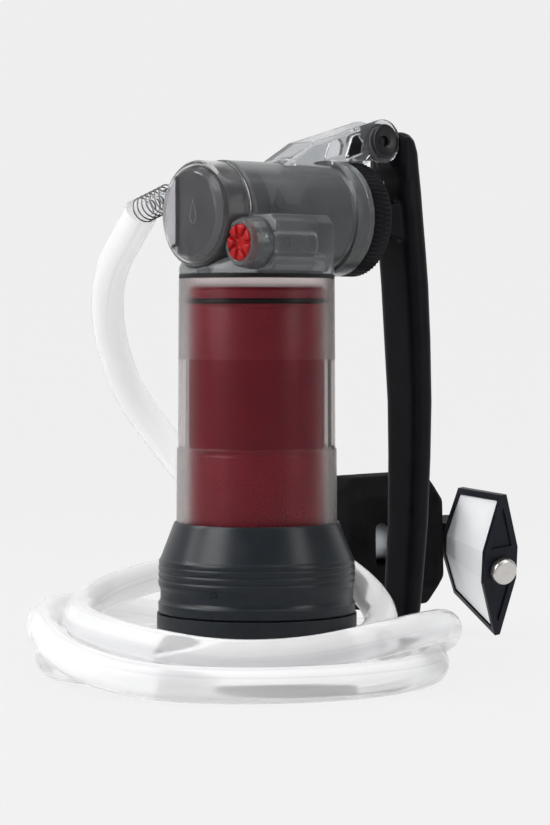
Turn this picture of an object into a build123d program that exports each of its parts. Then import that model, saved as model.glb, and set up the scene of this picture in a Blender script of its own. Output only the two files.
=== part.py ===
from math import acos, cos, pi, radians, sin, sqrt, tan
import os

from build123d import *

os.makedirs("parts", exist_ok=True)

# Hand-pumped water filter. Millimetres. +Z is up, Z=0 is the floor under the skirt.
# The filter tube stands on the Z axis, the pump cylinder lies along Y on top of it.

# ---- driving sizes -------------------------------------------------------------------
skirt_r = 35.8            # bottom skirt that screws onto a bottle neck
neck_r = 32.0             # plain bore standing in for the bottle thread
neck_depth = 15.0         # to the deck, gasket seat included
gasket_thick = 2.2
deck_top = 19.0
skirt_top = 21.7
tube_r = 29.0             # filter tube, outside, at its foot
tube_wall = 2.5
tube_top = 141.2
pump_bore_r = 16.2
pump_wall = 3.3
pump_back = 38.0          # rear end of the cylinder
cap_wall = 1.9
lever_drop = 179.6        # pivot to the tip of the lever
hose_r = 6.1
hose_bore_r = 4.0
pin_r = 3.0
drive_r = 2.5

# ---- clearances ----------------------------------------------------------------------
run_gap = 0.05            # shaft in its hole
piston_gap = 0.08         # seal in the pump bore
body_gap = 0.3            # moving piece to its neighbours
slot_gap = 0.8            # drive pin to each side of the yoke slot
seat_gap = 0.1            # pieces assembled for good
cartridge_gap = 2.2       # water space round the cartridge
cap_land = 0.85           # front cap's inside, beyond the pump bore
saddle_floor = 1.7        # from the gasket up to the cylinder
spring_gap = 0.2          # kink spring inside its cuff

# ---- sizes that follow ---------------------------------------------------------------
socket_in = tube_r + 0.2
socket_r = skirt_r - 2.8
grip_r = skirt_r - 0.5
tube_foot = deck_top + 0.2
tube_in = tube_r - tube_wall
cartridge_r = tube_in - cartridge_gap
tube_r_top = tube_r - 1.05
tube_in_top = tube_r_top - tube_wall
waist_z = 80.7
gasket_top = tube_top + 1.2
saddle_top = gasket_top + 6.6
pump_r = pump_bore_r + pump_wall
pump_z = gasket_top + saddle_floor + pump_r
cap_r = pump_bore_r + cap_land + cap_wall
collar_r = pump_r + 1.8
ring_r = collar_r - 0.1
cap_back = -17.0
cap_front = -30.8
ring_front = pump_back + 0.2
ring_back = ring_front + 8.6
pivot_y = 54.5
pivot_z = pump_z + 29.0
drive_y = pivot_y - 2.45
drive_z = pump_z + 0.1
slot_half = drive_r + slot_gap
relief_x = 23.0
relief_z = pump_z - 10.6
knob_r = 6.06
inlet_z = pump_z + 7.8
hose_start = (-35.0, -22.0, pump_z + 3.6)


def at_y(y):
    # sketch plane facing -Y at the given y, local axes are X and Z
    return Plane.XZ.offset(-y)


def at_x(x):
    # sketch plane facing +X at the given x, local axes are Y and Z
    return Plane.YZ.offset(x)


# ---- bottom end ----------------------------------------------------------------------
with BuildPart() as bottle_adapter:
    with BuildSketch(Plane.XZ):
        Polygon(
            (neck_r, 0), (skirt_r, 0), (skirt_r, skirt_top), (socket_r, skirt_top),
            (socket_r, skirt_top + 8.3), (socket_in, skirt_top + 8.3), (socket_in, deck_top),
            (4.0 + run_gap, deck_top), (4.0 + run_gap, neck_depth), (neck_r + 0.6, neck_depth),
            (neck_r + 0.6, neck_depth - gasket_thick), (neck_r, neck_depth - gasket_thick),
            align=None,
        )
    revolve(axis=Axis.Z)

with BuildPart() as adapter_gasket:
    with BuildSketch(Plane.XY.offset(neck_depth - gasket_thick + 0.1)):
        Circle(neck_r + 0.5)
        Circle(neck_r - 7.0, mode=Mode.SUBTRACT)
    extrude(amount=gasket_thick - 0.1)

with BuildPart() as outlet_nipple:
    with BuildSketch(Plane.XZ):
        Polygon(
            (2.6, neck_depth - 2.0), (4.0, neck_depth - 2.0), (4.0, deck_top), (10.0, deck_top), (10.0, deck_top + 1.0),
            (5.0, deck_top + 1.0), (5.0, deck_top + 3.8), (2.6, deck_top + 3.8), align=None,
        )
    revolve(axis=Axis.Z)

cap_z = deck_top + 1.0
oring_z = cap_z + 3.0
with BuildPart() as lower_end_cap:
    with BuildSketch(Plane.XZ):
        Polygon(
            (7.0, cap_z), (tube_in - 0.3, cap_z), (tube_in - 0.3, oring_z - 1.1),
            (tube_in - 2.2, oring_z - 1.1), (tube_in - 2.2, oring_z + 1.1),
            (tube_in - 0.3, oring_z + 1.1), (tube_in - 0.3, cap_z + 6.0), (7.0, cap_z + 6.0),
            align=None,
        )
    revolve(axis=Axis.Z)

with BuildPart() as lower_oring:
    with BuildSketch(Plane.XZ):
        with Locations((tube_in - 1.15, oring_z)):
            Circle(1.0)
    revolve(axis=Axis.Z)

grip_foot = skirt_top + 0.2
with BuildPart() as base_grip:
    with BuildSketch(Plane.XZ):
        Polygon(
            (socket_r + 0.2, grip_foot), (grip_r, grip_foot), (grip_r, grip_foot + 4.0),
            (grip_r - 0.7, grip_foot + 5.2), (grip_r - 0.7, grip_foot + 8.8),
            (grip_r, grip_foot + 10.0), (grip_r, grip_foot + 12.6),
            (grip_r - 0.5, grip_foot + 13.2), (grip_r, grip_foot + 13.8),
            (grip_r, grip_foot + 15.6), (grip_r - 0.5, grip_foot + 16.2),
            (grip_r, grip_foot + 16.8), (grip_r - 0.3, grip_foot + 19.1),
            (tube_r + 0.55, grip_foot + 32.3), (tube_r, grip_foot + 32.3),
            (socket_r + 0.2, grip_foot + 16.1), align=None,
        )
    revolve(axis=Axis.Z)

# ---- filter tube and cartridge -------------------------------------------------------
waist_r = tube_r - 0.4
with BuildPart() as cartridge_housing:
    with BuildSketch(Plane.XZ):
        Polygon(
            (tube_in, tube_foot), (tube_r, tube_foot), (waist_r, waist_z),
            (waist_r - 0.4, waist_z), (tube_r_top, tube_top), (tube_in_top, tube_top),
            align=None,
        )
    revolve(axis=Axis.Z)

base_z = cap_z + 8.0
with BuildPart() as cartridge_base:
    with BuildSketch(Plane.XZ):
        Polygon(
            (2.6, deck_top + 4.0), (6.0, deck_top + 4.0), (6.0, base_z), (cartridge_r, base_z),
            (cartridge_r, base_z + 6.0), (cartridge_r - 1.6, base_z + 6.0),
            (cartridge_r - 1.6, base_z + 7.9), (2.6, base_z + 7.9), align=None,
        )
    revolve(axis=Axis.Z)

shell_top = tube_top - 10.7
with BuildPart() as cartridge_shell:
    with BuildSketch(Plane.XY.offset(base_z + 6.0)):
        Circle(cartridge_r)
        Circle(cartridge_r - 1.5, mode=Mode.SUBTRACT)
    extrude(amount=shell_top - base_z - 6.0)

cartridge_top = tube_top - 3.5
groove_z = shell_top + 2.3
with BuildPart() as cartridge_cap:
    with BuildSketch(Plane.XZ):
        Polygon(
            (0, shell_top - 3.0), (cartridge_r - 1.6, shell_top - 3.0),
            (cartridge_r - 1.6, shell_top), (cartridge_r, shell_top), (cartridge_r, groove_z - 1.0),
            (cartridge_r - 0.8, groove_z - 1.0), (cartridge_r - 0.8, groove_z + 1.0),
            (cartridge_r, groove_z + 1.0), (cartridge_r, cartridge_top - 1.0),
            (cartridge_r - 1.0, cartridge_top), (0, cartridge_top), align=None,
        )
    revolve(axis=Axis.Z)
    with BuildSketch(Plane.XY.offset(shell_top - 3.0)):
        with PolarLocations(13.0, 6):
            Circle(2.0)
    extrude(amount=cartridge_top - shell_top + 3.0, mode=Mode.SUBTRACT)

with BuildPart() as cartridge_oring:
    with BuildSketch(Plane.XZ):
        with Locations((cartridge_r + 0.1, groove_z)):
            Circle(0.85)
    revolve(axis=Axis.Z)

potting_z = base_z + 8.0
with BuildPart() as potting_disc:
    with BuildSketch(Plane.XY.offset(potting_z)):
        Circle(cartridge_r - 1.7)
    extrude(amount=8.0)

with BuildPart() as fiber_bundle:
    with BuildSketch(Plane.XY.offset(potting_z + 8.0)):
        with Locations((0, 0)):
            Circle(1.3)
        for turn in (1, 2, 3):
            with PolarLocations(6.4 * turn, 6 * turn):
                Circle(1.3)
    extrude(amount=shell_top - 4.5 - potting_z - 8.0)

with BuildPart() as head_gasket:
    with BuildSketch(Plane.XY.offset(tube_top)):
        Circle(tube_r_top - 0.05)
        Circle(tube_in_top - 0.45, mode=Mode.SUBTRACT)
    extrude(amount=gasket_top - tube_top)

# ---- pump cylinder with its saddle and side barrel -----------------------------------
with BuildPart() as pump_body:
    with BuildSketch(Plane.XZ):
        Polygon(
            (0, gasket_top), (tube_r_top - 0.05, gasket_top), (tube_r_top - 0.05, saddle_top - 4.0),
            (tube_r_top - 1.2, saddle_top - 1.2), (tube_r_top - 4.0, saddle_top), (0, saddle_top),
            align=None,
        )
    revolve(axis=Axis.Z)
    with BuildSketch(at_y(8.0)):
        with Locations((relief_x - 0.1, relief_z + 0.1)):
            Rectangle(20.6, 19.8)
        chamfer(vertices(), 3.2)
    extrude(amount=8.0 - cap_back + 1.3)
    with BuildSketch(at_y(pump_back)):
        with Locations((0, pump_z)):
            Circle(pump_r)
    extrude(amount=pump_back - cap_back)
    with BuildSketch(at_y(pump_back)):
        with Locations((0, pump_z)):
            Circle(collar_r)
    extrude(amount=8.0)
    for rib in range(4):
        with BuildSketch(at_y(pump_back - 1.0 - 1.9 * rib)):
            with Locations((0, pump_z)):
                Circle(collar_r + 1)
                Circle(collar_r - 0.5, mode=Mode.SUBTRACT)
        extrude(amount=0.8, mode=Mode.SUBTRACT)
    with BuildSketch(at_y(pump_back)):
        with Locations((0, pump_z)):
            Circle(pump_bore_r)
    extrude(amount=pump_back - cap_back, mode=Mode.SUBTRACT)
    with BuildSketch(at_y(cap_back)):
        with Locations((0, pump_z)):
            Circle(cap_r + seat_gap)
    extrude(amount=20.0, mode=Mode.SUBTRACT)
    with BuildSketch(Plane.XY.offset(gasket_top)):
        with Locations((0, -22.0)):
            Circle(3.0)
    extrude(amount=5.0, mode=Mode.SUBTRACT)
    with BuildSketch(at_y(4.0)):
        with Locations((relief_x, relief_z)):
            Circle(5.0)
    extrude(amount=24.0, mode=Mode.SUBTRACT)

with BuildPart() as front_cap:
    with BuildSketch(Plane.XY.offset(pump_z)):
        Polygon(
            (0, cap_front), (cap_r - 3.45, cap_front), (cap_r - 0.4, cap_front + 2.2),
            (cap_r, cap_front + 3.4), (cap_r, cap_back), (cap_r - cap_wall, cap_back),
            (cap_r - cap_wall, cap_front + 3.0), (0, cap_front + 3.0), align=None,
        )
    revolve(axis=Axis((0, 0, pump_z), (0, 1, 0)))
    with BuildSketch(Plane.XY.offset(pump_z - cap_r - 1.0)):
        with Locations((0, -22.0)):
            Circle(3.0)
    extrude(amount=5.0, mode=Mode.SUBTRACT)
    with BuildSketch(at_x(-cap_r - 1.0)):
        with Locations((-22.0, inlet_z)):
            Circle(2.6)
    extrude(amount=8.0, mode=Mode.SUBTRACT)

with BuildPart() as front_cap_oring:
    with BuildSketch(Plane.XY.offset(pump_z)):
        Polygon(
            (pump_bore_r - 1.0, cap_back - 0.9), (pump_bore_r + 0.15, cap_back - 0.9),
            (pump_bore_r + 0.15, cap_back - 0.1), (pump_bore_r - 1.0, cap_back - 0.1), align=None,
        )
    revolve(axis=Axis((0, 0, pump_z), (0, 1, 0)))

# divider between the suction and delivery sides of the cap
gasket_x = -6.7
with BuildPart() as inlet_gasket:
    with BuildSketch(at_y(cap_back - 1.1)):
        with Locations((gasket_x, pump_z)):
            Rectangle(1.2, 24.4)
        with Locations((gasket_x - 1.6, pump_z + 12.2), (gasket_x - 1.6, pump_z - 12.2)):
            Rectangle(4.4, 1.2)
    extrude(amount=cap_back - 1.1 - cap_front - 3.2)

plate_back = cap_back + 1.6
with BuildPart() as valve_plate:
    with BuildSketch(at_y(plate_back)):
        with Locations((0, pump_z)):
            Circle(pump_bore_r - 0.1)
        with Locations((-10.2, pump_z), (5.5, pump_z)):
            Circle(1.05, mode=Mode.SUBTRACT)
    extrude(amount=plate_back - cap_back)

with BuildPart() as inlet_valve:
    with BuildSketch(at_y(plate_back)):
        with Locations((-10.2, pump_z)):
            Circle(1.0)
    extrude(amount=plate_back - cap_back + 0.1)
    with BuildSketch(at_y(cap_back - 0.1)):
        with Locations((-10.2, pump_z)):
            Circle(2.2)
    extrude(amount=0.9)

with BuildPart() as outlet_valve:
    with BuildSketch(at_y(plate_back)):
        with Locations((5.5, pump_z)):
            Circle(1.0)
    extrude(amount=plate_back - cap_back + 0.1)
    with BuildSketch(at_y(cap_back - 0.1)):
        with Locations((5.5, pump_z)):
            Circle(4.0)
    extrude(amount=0.9)

ring_open_r = 12.5
knurls = 60
with BuildPart() as retaining_ring:
    with BuildSketch(at_y(ring_back)):
        with Locations((0, pump_z)):
            Circle(ring_r)
            Circle(ring_open_r, mode=Mode.SUBTRACT)
        for knurl in range(knurls):
            around = 2 * pi * knurl / knurls
            with Locations((ring_r * cos(around), pump_z + ring_r * sin(around))):
                Circle(0.6, mode=Mode.SUBTRACT)
    extrude(amount=ring_back - ring_front)
    with BuildSketch(at_y(ring_front)):
        with Locations((0, pump_z)):
            Circle(pump_bore_r - 0.1)
            Circle(ring_open_r, mode=Mode.SUBTRACT)
    extrude(amount=1.7)

rod_r = 5.0
with BuildPart() as rod_guide:
    with BuildSketch(at_y(ring_front - 1.8)):
        with Locations((0, pump_z)):
            Circle(pump_bore_r - 0.1)
            Circle(rod_r + run_gap + 0.02, mode=Mode.SUBTRACT)
    extrude(amount=5.4)

# plain droplet raised on the side of the cylinder
emblem_y = -5.0
emblem_z = pump_z + 5.0
emblem_x = sqrt(pump_r ** 2 - 25.0)
with BuildPart() as emblem:
    with BuildSketch(at_x(emblem_x - 2.0)):
        with Locations((emblem_y, emblem_z - 1.2)):
            Circle(2.4)
        Polygon(
            (emblem_y - 2.3, emblem_z - 0.6), (emblem_y + 2.3, emblem_z - 0.6),
            (emblem_y, emblem_z + 4.4), align=None,
        )
    extrude(amount=4.5)
    with BuildSketch(at_y(emblem_y + 6.0)):
        with Locations((0, pump_z)):
            Circle(pump_r + 10)
            Circle(pump_r + 0.45, mode=Mode.SUBTRACT)
    extrude(amount=12.0, mode=Mode.SUBTRACT)
    with BuildSketch(at_y(emblem_y + 6.0)):
        with Locations((0, pump_z)):
            Circle(pump_r)
    extrude(amount=12.0, mode=Mode.SUBTRACT)

# ---- hinge bracket -------------------------------------------------------------------
wall_in = 5.3
wall_out = 7.5
boss_r = 8.1
with BuildPart() as hinge_bracket:
    with BuildSketch(at_x(-wall_out)):
        Polygon(
            (5.0, pump_z + 17.8), (21.0, pump_z + 27.5), (pivot_y - 2.1, pivot_z + 7.8),
            (pivot_y - 6.2, pivot_z - 5.2), (43.9, pump_z + 19.7), (36.5, pump_z + 16.7),
            (5.0, pump_z + 16.0), align=None,
        )
        with Locations((pivot_y, pivot_z)):
            Circle(boss_r)
    extrude(amount=2 * wall_out)
    with BuildSketch(at_x(-wall_in)):
        Polygon(
            (13.0, pump_z + 10.0), (13.0, pump_z + 20.6), (22.2, pump_z + 26.1),
            (44.0, pump_z + 32.9), (44.0, pump_z + 45.0), (70.0, pump_z + 45.0),
            (70.0, pump_z + 10.0), align=None,
        )
    extrude(amount=2 * wall_in, mode=Mode.SUBTRACT)
    with BuildSketch(at_x(-wall_out)):
        Polygon(
            (36.4, pump_z + 21.9), (38.6, pump_z + 27.4), (39.6, pump_z + 30.0),
            (43.0, pump_z + 31.2), (45.4, pump_z + 28.0), (44.6, pump_z + 24.2), align=None,
        )
    extrude(amount=2 * wall_out, mode=Mode.SUBTRACT)
    with BuildSketch(at_x(-wall_out)):
        with Locations((pivot_y, pivot_z)):
            Circle(pin_r + 0.02)
    extrude(amount=2 * wall_out, mode=Mode.SUBTRACT)
    with BuildSketch(at_y(ring_back + 0.8)):
        with Locations((0, pump_z)):
            Circle(collar_r + 0.1)
    extrude(amount=ring_back + 0.8 - pump_back + 8.1, mode=Mode.SUBTRACT)
    with BuildSketch(at_y(pump_back)):
        with Locations((0, pump_z)):
            Circle(pump_r + 0.02)
    extrude(amount=pump_back + 10.0, mode=Mode.SUBTRACT)

with BuildPart() as hinge_pin:
    with BuildSketch(at_x(-wall_out - 1.0)):
        with Locations((pivot_y, pivot_z)):
            Circle(6.4)
    extrude(amount=0.95)
    with BuildSketch(at_x(-wall_out - 0.05)):
        with Locations((pivot_y, pivot_z)):
            Circle(pin_r)
    extrude(amount=2 * wall_out + 0.1)
    with BuildSketch(at_x(wall_out + 0.05)):
        with Locations((pivot_y, pivot_z)):
            Circle(6.4)
    extrude(amount=0.95)
    with BuildSketch(at_x(wall_out - 0.4)):
        with Locations((pivot_y, pivot_z)):
            RegularPolygon(2.0, 6)
    extrude(amount=1.6, mode=Mode.SUBTRACT)

hub_half = 4.5
with BuildPart() as hinge_washers:
    for side in (-1, 1):
        with BuildSketch(at_x(side * (wall_in - 0.35) - 0.25)):
            with Locations((pivot_y, pivot_z)):
                Circle(5.6)
                Circle(pin_r + 0.1, mode=Mode.SUBTRACT)
        extrude(amount=0.5)

# ---- lever ---------------------------------------------------------------------------
# centre line of the grip: fraction of the way down from the pivot, y, width, depth, corner
grip_sections = (
    (0.0702, 67.3, 21.0, 9.2, 4.2), (0.1537, 69.0, 21.0, 9.8, 4.4), (0.2929, 71.6, 21.0, 10.0, 4.5),
    (0.4042, 72.9, 20.6, 9.9, 4.4), (0.5379, 74.1, 19.6, 9.4, 4.2), (0.6548, 74.0, 18.8, 9.0, 4.0),
    (0.7940, 73.2, 17.8, 8.6, 3.9), (0.9053, 71.4, 17.2, 8.2, 3.8), (0.9866, 70.2, 16.0, 7.0, 3.3),
    (1.0, 70.0, 13.4, 4.6, 2.1),
)
with BuildPart() as lever:
    for drop, y_mid, wide, deep, corner in grip_sections:
        with BuildSketch(Plane.XY.offset(pivot_z - drop * lever_drop)):
            with Locations((0, y_mid)):
                RectangleRounded(wide, deep, corner)
    loft()
    with BuildSketch(at_x(-10.4)):
        Polygon(
            (63.3, pump_z + 15.0), (62.9, pump_z + 31.0), (65.6, pump_z + 31.2),
            (70.0, pump_z + 26.0), (71.7, pump_z + 17.0), (71.8, pump_z + 15.0), align=None,
        )
    extrude(amount=20.8)
    with BuildSketch(at_x(-hub_half)):
        with Locations((pivot_y, pivot_z)):
            Circle(6.8)
        Polygon(
            (pivot_y, pivot_z + 6.8), (64.0, pivot_z + 2.2), (66.0, pivot_z - 12.0),
            (64.0, pivot_z - 12.0), (pivot_y + 4.6, pivot_z - 5.0), align=None,
        )
    extrude(amount=2 * hub_half)
    for side in (-1, 1):
        with BuildSketch(at_x(side * 5.7 - 1.3)):
            with Locations((drive_y, drive_z)):
                Circle(4.0)
            Polygon(
                (drive_y, drive_z + 4.0), (66.5, drive_z + 8.0), (67.5, drive_z - 8.0),
                (drive_y, drive_z - 4.0), align=None,
            )
        extrude(amount=2.6)
    with BuildSketch(at_x(-12.0)):
        with Locations((pivot_y, pivot_z)):
            Circle(pin_r + run_gap)
        with Locations((drive_y, drive_z)):
            Circle(drive_r + 0.02)
    extrude(amount=24.0, mode=Mode.SUBTRACT)

with BuildPart() as drive_pin:
    with BuildSketch(at_x(-6.9)):
        with Locations((drive_y, drive_z)):
            Circle(drive_r)
    extrude(amount=13.8)

# ---- piston --------------------------------------------------------------------------
piston_front = plate_back + 0.8
with BuildPart() as piston:
    with BuildSketch(Plane.XY.offset(pump_z)):
        Polygon(
            (0, piston_front), (pump_bore_r - 0.6, piston_front),
            (pump_bore_r - 0.6, piston_front + 1.0), (pump_bore_r - 1.6, piston_front + 1.0),
            (pump_bore_r - 1.6, piston_front + 6.9), (pump_bore_r - 0.6, piston_front + 6.9),
            (pump_bore_r - 0.6, piston_front + 7.9), (0, piston_front + 7.9), align=None,
        )
    revolve(axis=Axis((0, 0, pump_z), (0, 1, 0)))

with BuildPart() as piston_seal:
    with BuildSketch(Plane.XY.offset(pump_z)):
        Polygon(
            (pump_bore_r - 1.55, piston_front + 1.05), (pump_bore_r - piston_gap, piston_front + 1.05),
            (pump_bore_r - piston_gap, piston_front + 6.85), (pump_bore_r - 1.55, piston_front + 6.85),
            align=None,
        )
    revolve(axis=Axis((0, 0, pump_z), (0, 1, 0)))

yoke_front = ring_back + body_gap
slot_low = drive_z - drive_r - 0.6
slot_high = pivot_z - 29.0 * cos(radians(45.2)) + drive_r + 0.7
with BuildPart() as piston_rod:
    with BuildSketch(at_y(yoke_front)):
        with Locations((0, pump_z)):
            Circle(rod_r)
    extrude(amount=yoke_front - piston_front - 7.9)
    with BuildSketch(at_y(yoke_front)):
        with Locations((-8.0, pump_z), (8.0, pump_z)):
            Rectangle(8.0, 12.0)
    extrude(amount=3.0, mode=Mode.SUBTRACT)
    with BuildSketch(at_x(-4.0)):
        Polygon(
            (yoke_front, slot_low - 2.6), (drive_y + slot_half + 2.3, slot_low - 2.6),
            (drive_y + slot_half + 2.3, slot_high + 2.7), (yoke_front, slot_high + 2.7), align=None,
        )
    extrude(amount=8.0)
    with BuildSketch(at_x(-6.0)):
        Polygon(
            (drive_y - slot_half, slot_low), (drive_y + slot_half, slot_low),
            (drive_y + slot_half, slot_high), (drive_y - slot_half, slot_high), align=None,
        )
    extrude(amount=12.0, mode=Mode.SUBTRACT)

# ---- pressure relief valve in the side barrel ----------------------------------------
relief_axis = Axis((relief_x, 0, relief_z), (0, 1, 0))
barrel_front = cap_back - 1.3
stem_r = 2.0
with BuildPart() as relief_bezel:
    with BuildSketch(Plane.XY.offset(relief_z)):
        Polygon(
            (relief_x + stem_r + run_gap, barrel_front - 0.1), (relief_x + 9.3, barrel_front - 0.1),
            (relief_x + 9.3, barrel_front - 2.6), (relief_x + 8.5, barrel_front - 7.2),
            (relief_x + 7.6, barrel_front - 8.4), (relief_x + knob_r + body_gap, barrel_front - 8.4),
            (relief_x + knob_r + body_gap, barrel_front - 2.2),
            (relief_x + stem_r + run_gap, barrel_front - 2.2), align=None,
        )
    revolve(axis=relief_axis)
    with BuildSketch(at_y(barrel_front + 1.0)):
        with Locations((0, pump_z)):
            Circle(cap_r + seat_gap)
    extrude(amount=20.0, mode=Mode.SUBTRACT)
    with BuildSketch(Plane.XY.offset(gasket_top - 1.0)):
        Circle(tube_r_top + 0.1)
    extrude(amount=saddle_top + 1.1 - gasket_top, mode=Mode.SUBTRACT)

knob_back = barrel_front - 2.7
knob_front = -27.0
petals = 8
with BuildPart() as relief_knob:
    with BuildSketch(at_y(knob_back)):
        with Locations((relief_x, relief_z)):
            Circle(knob_r)
    extrude(amount=knob_back - knob_front)
    with BuildSketch(at_y(knob_front + 3.0)):
        with Locations((relief_x, relief_z)):
            Circle(2.9)
        for petal in range(petals):
            around = 2 * pi * (petal + 0.5) / petals
            across = (relief_x + 5.2 * cos(around), relief_z + 5.2 * sin(around))
            with Locations(Location((across[0], across[1], 0), (0, 0, 360 * (petal + 0.5) / petals))):
                Rectangle(3.4, 1.1)
    extrude(amount=4.0, mode=Mode.SUBTRACT)

poppet_back = 0.2
with BuildPart() as relief_poppet:
    with BuildSketch(Plane.XY.offset(relief_z)):
        Polygon(
            (relief_x, knob_back + 0.05), (relief_x + stem_r, knob_back + 0.05),
            (relief_x + stem_r, poppet_back - 2.6), (relief_x + 4.4, poppet_back - 2.6),
            (relief_x + 4.4, poppet_back), (relief_x, poppet_back), align=None,
        )
    revolve(axis=relief_axis)

with BuildPart() as relief_seal:
    with BuildSketch(Plane.XY.offset(relief_z)):
        with Locations((relief_x + 3.6, poppet_back + 1.5)):
            Circle(1.0)
    revolve(axis=relief_axis)

spring_front = barrel_front + 0.5
spring_long = poppet_back - 3.1 - spring_front
with BuildPart() as relief_spring:
    with BuildLine() as relief_coil:
        Helix(
            pitch=spring_long / 5, height=spring_long, radius=3.6,
            center=(relief_x, spring_front, relief_z), direction=(0, 1, 0),
        )
    with BuildSketch(Plane(origin=relief_coil.line @ 0, z_dir=relief_coil.line % 0)):
        Circle(0.35)
    sweep(path=relief_coil.line, is_frenet=True)

# ---- suction side: barb, cuff, kink spring -------------------------------------------
cuff_run = Vector(hose_start[0] + cap_r - 0.6, 0, hose_start[2] - inlet_z)
cuff_dir = cuff_run.normalized()
cuff_root = Vector(-cap_r + 0.6, -22.0, inlet_z)
cuff_wall = 1.45
coil_wire_r = 0.35
with BuildPart() as inlet_barb:
    with BuildSketch(Plane(origin=cuff_root - cuff_dir * 0.5, z_dir=cuff_dir)):
        Circle(3.6)
        Circle(2.4, mode=Mode.SUBTRACT)
    extrude(amount=13.0)
    with BuildSketch(at_y(0)):
        with Locations((0, pump_z)):
            Circle(cap_r + 0.02)
    extrude(amount=40.0, mode=Mode.SUBTRACT)

with BuildPart() as hose_cuff:
    with BuildSketch(Plane(origin=cuff_root + cuff_dir * 1.6, z_dir=cuff_dir)):
        Circle(hose_r)
        Circle(hose_r - cuff_wall, mode=Mode.SUBTRACT)
    extrude(amount=cuff_run.length - 2.3)
    with BuildSketch(at_y(0)):
        with Locations((0, pump_z)):
            Circle(cap_r + 0.05)
    extrude(amount=40.0, mode=Mode.SUBTRACT)
    with BuildSketch(at_y(0)):
        with Locations((0, pump_z)):
            Circle(pump_r + seat_gap)
    extrude(amount=-cap_back, mode=Mode.SUBTRACT)

with BuildPart() as kink_spring:
    with BuildLine() as kink_coil:
        Helix(
            pitch=3.0, height=12.0, radius=hose_r - cuff_wall - spring_gap - coil_wire_r,
            center=cuff_root + cuff_dir * 3.6, direction=cuff_dir,
        )
    with BuildSketch(Plane(origin=kink_coil.line @ 0, z_dir=kink_coil.line % 0)):
        Circle(coil_wire_r)
    sweep(path=kink_coil.line, is_frenet=True)

# ---- suction hose --------------------------------------------------------------------
def coil_turn(mid_x, mid_y, radius, start, step, levels, swell):
    # points round one turn, angles in degrees
    out = []
    for count, level in enumerate(levels):
        around = radians(start + count * step)
        reach = radius + swell[count]
        out.append((mid_x + reach * cos(around), mid_y + reach * sin(around), level))
    return out


rise = hose_start[2] / 167.2
fall_points = (
    (-55.5, -22.0, 160.5), (-73.0, -18.5, 146.0), (-83.5, -9.5, 125.5), (-86.0, 3.5, 102.5),
    (-79.0, 16.5, 81.5), (-67.0, 24.1, 65.0),
)
tail_points = (
    (-6.4, -69.9, 20.6), (-30.4, -57.3, 22.0), (-49.3, -37.8, 24.8), (-61.1, -11.2, 28.5),
    (-65.0, 18.6, 32.0), (-64.5, 50.6, 35.0), (-61.6, 81.5, 37.8),
)
hose_points = [hose_start] + [(x, y, z * rise) for x, y, z in fall_points]
hose_points += coil_turn(
    -11.9, -9.7, skirt_r + 25.7, 125.5, -28.0,
    (50.0, 36.0, 25.0, 16.5, 12.0, 10.0, 8.5, 7.2, 6.2), (0, 0, 0, 0, 0, -1, -3, -3, -1),
)
hose_points += coil_turn(
    3.8, -9.6, skirt_r + 36.2, 225.5, -24.5, (6.2,) * 12 + (6.8, 12.0, 17.5),
    (-2, 0, 0, 0, -1, -3, -5, -5, -1, 1, 2, 2, 2, 2, -1),
)
hose_points += coil_turn(
    -7.9, 1.4, skirt_r + 40.2, 230.5, -23.0,
    (18.8, 18.9, 16.5, 10.0, 6.2, 6.2, 6.2, 7.4, 17.0), (-3, -1, 0, 0, 0, 0, 0, -1, -3),
)
hose_points += coil_turn(
    -1.9, -2.3, skirt_r + 34.2, 24.5, -24.0, (19.2, 18.0, 14.0, 13.5, 17.5), (-1, 0, 0, 0, 0),
)
hose_points += list(tail_points)
runs = [(Vector(*b) - Vector(*a)) for a, b in zip(hose_points, hose_points[1:])]
hose_radii = []
for one, two in zip(runs, runs[1:]):
    turn = acos(max(-1.0, min(1.0, one.normalized().dot(two.normalized()))))
    hose_radii.append(0.45 * min(one.length, two.length) / tan(turn / 2))

with BuildPart() as hose:
    with BuildLine() as hose_path:
        FilletPolyline(*hose_points, radius=hose_radii)
    with BuildSketch(Plane(origin=hose_path.line @ 0, z_dir=hose_path.line % 0)):
        Circle(hose_r)
        Circle(hose_bore_r, mode=Mode.SUBTRACT)
    sweep(path=hose_path.line)

# ---- float and prefilter at the free end of the hose ---------------------------------
hose_end = Vector(*hose_points[-1])
back_mid = Vector(-48.1, 145.2, 37.2)
front_mid = Vector(-18.5, 140.2, 29.2)
face_dir = (front_mid - back_mid).normalized()
elbow_mid = back_mid - face_dir * 7.6
stem_dir = (elbow_mid - hose_end).normalized()
stem_side = Vector(-stem_dir.Y, stem_dir.X, 0).normalized()
stem_len = (elbow_mid - hose_end).length
stem_r_out = 7.8
with BuildPart() as prefilter_stem:
    with BuildSketch(Plane(origin=hose_end + stem_dir * 0.7, x_dir=stem_side, z_dir=stem_dir)):
        Circle(stem_r_out)
        Circle(hose_bore_r - 1.0, mode=Mode.SUBTRACT)
    extrude(amount=stem_len - 10.2)

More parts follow.
